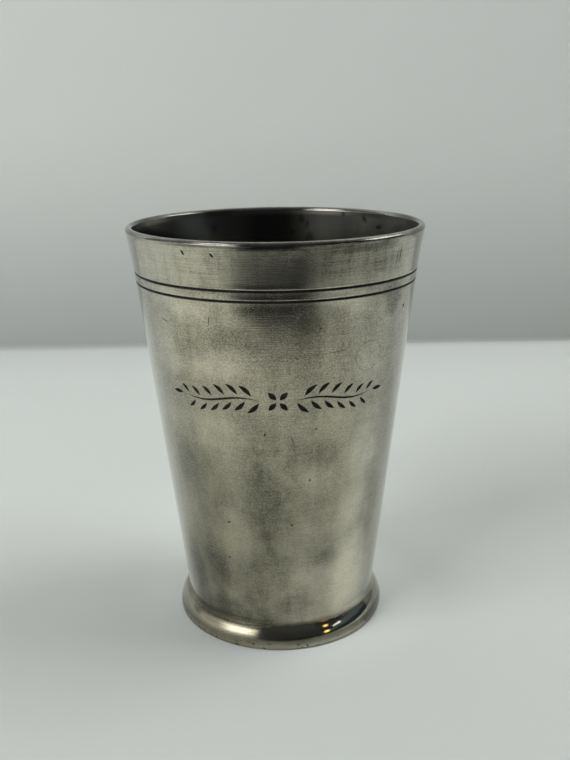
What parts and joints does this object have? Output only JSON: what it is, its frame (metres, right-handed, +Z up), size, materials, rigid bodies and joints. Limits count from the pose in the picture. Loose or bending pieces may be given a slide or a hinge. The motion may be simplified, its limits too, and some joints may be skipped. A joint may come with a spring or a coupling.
{
  "type": "drinking beaker",
  "caption": "Tapered pewter drinking beaker with a flared round lip, scribed lines under it, a soldered-in base plate and a turned foot ring that stands on the table.",
  "frame": {"origin": "on the axis of the beaker, in the plane of the table that the foot stands on", "axes": "+Z up along the beaker's axis towards the lip, -Y towards the camera of the picture, +X to the right of the picture"},
  "size_m": [0.0744, 0.0744, 0.105],
  "materials": {
    "satin_pewter": "satin pewter with a mottled grey patina and fine lathe marks, darker inside, blackened in the scribed lines",
    "dull_pewter": "dull pewter with turned rings, darkened inside the beaker",
    "polished_pewter": "polished pewter, worn and lightly scratched at the edge",
    "solder": "tin solder, smoothed and dulled"
  },
  "bodies": {
    "root": {"body_wall": "satin_pewter", "base_plate": "dull_pewter", "foot_ring": "polished_pewter", "floor_seam_solder": "solder", "ledge_seam_solder": "solder"}
  },
  "joints": []
}
